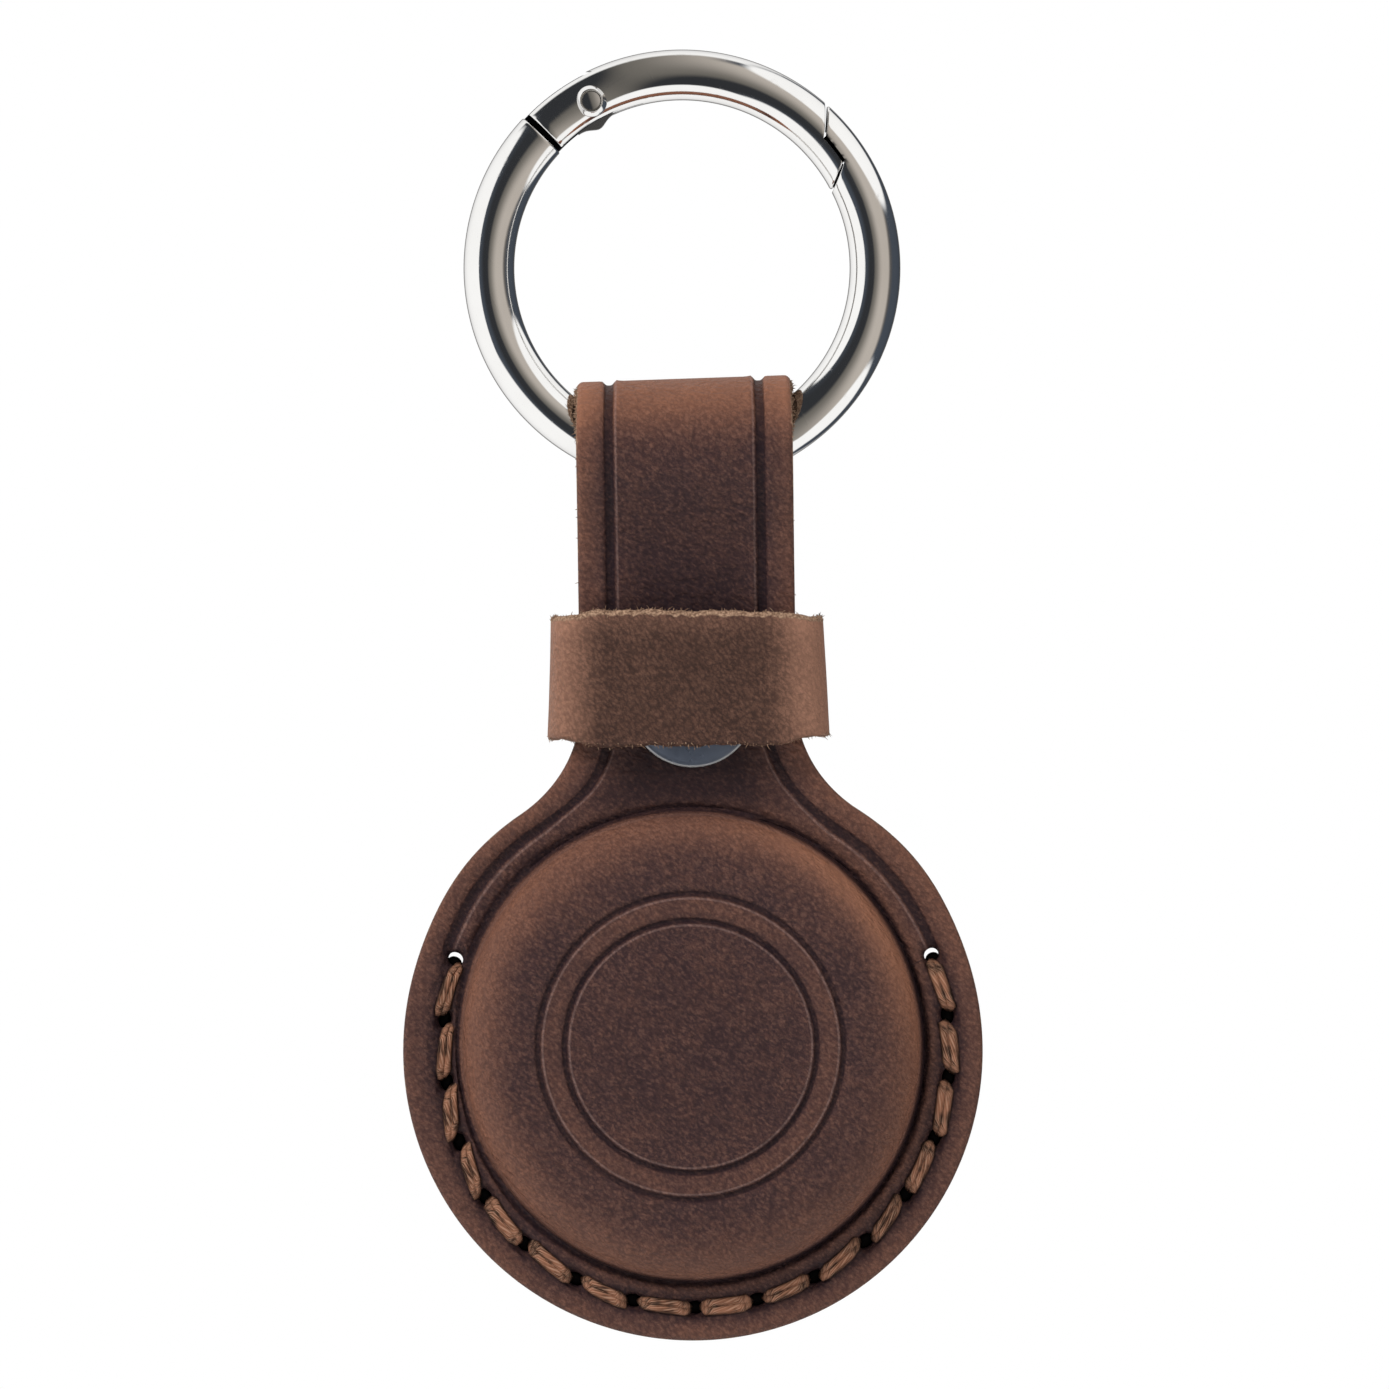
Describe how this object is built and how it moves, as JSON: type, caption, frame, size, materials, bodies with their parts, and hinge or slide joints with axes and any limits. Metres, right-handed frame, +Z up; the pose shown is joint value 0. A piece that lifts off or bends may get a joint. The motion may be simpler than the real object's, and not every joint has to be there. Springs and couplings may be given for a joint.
{
  "type": "tracker tag holder",
  "caption": "Leather holder for a round tracker tag: moulded, stitched dome pouch with a snap neck and sliding keeper, folded over a spring-gate ring.",
  "frame": {"origin": "centre of the spring-gate ring, where the holder hangs from", "axes": "+Z up along the hanging strap towards the ring, front dome with the snap cap facing -Y, +X to the right seen from the front"},
  "size_m": [0.0456, 0.011, 0.1016],
  "materials": {
    "oiled_leather": "oiled pull-up leather, dark brown with lighter stretched curves and raw tan edges",
    "keeper_leather": "oiled pull-up leather, mid brown with raw tan edges",
    "waxed_thread": "waxed flat thread, matte brown",
    "plated_ring": "polished nickel plate",
    "snap_gunmetal": "dark gunmetal plate, smooth",
    "spring_steel": "blued spring steel",
    "tag_plastic": "white moulded plastic",
    "tag_steel": "stainless steel",
    "seal_rubber": "black rubber",
    "board_laminate": "green board laminate",
    "contact_brass": "spring brass",
    "sounder_plastic": "black plastic"
  },
  "bodies": {
    "ring": {"ring_body": "plated_ring", "gate_pin": "plated_ring"},
    "gate": {"ring_gate": "plated_ring", "gate_spring": "spring_steel"},
    "holder": {"leather_body": "oiled_leather", "seam_thread": "waxed_thread", "snap_cap": "snap_gunmetal", "snap_socket": "snap_gunmetal", "snap_spring": "spring_steel", "snap_stud": "snap_gunmetal", "snap_post": "snap_gunmetal", "tag_shell": "tag_plastic", "tag_cover": "tag_steel", "tag_seal": "seal_rubber", "tag_board": "board_laminate", "coin_cell": "tag_steel", "cell_contacts": "contact_brass", "tag_sounder": "sounder_plastic"},
    "keeper": {"keeper_loop": "keeper_leather", "keeper_staple": "plated_ring"}
  },
  "joints": [
    {"name": "gate_hinge", "type": "hinge", "parent": "ring", "child": "gate", "pos_m": [-0.00704, 0, 0.01347], "axis": [0, 1, 0], "range_deg": [0, 30], "stiffness_Nm_per_rad": 0.02, "springref_deg": -17.19, "deforming": ["gate_spring"]},
    {"name": "holder_swing", "type": "hinge", "parent": "ring", "child": "holder", "pos_m": [0, 0, -0.01365], "axis": [1, 0, 0], "range_deg": [-135, 135]},
    {"name": "keeper_slide", "type": "slide", "parent": "holder", "child": "keeper", "axis": [0, 0, 1], "range_m": [0, 0.008]}
  ]
}
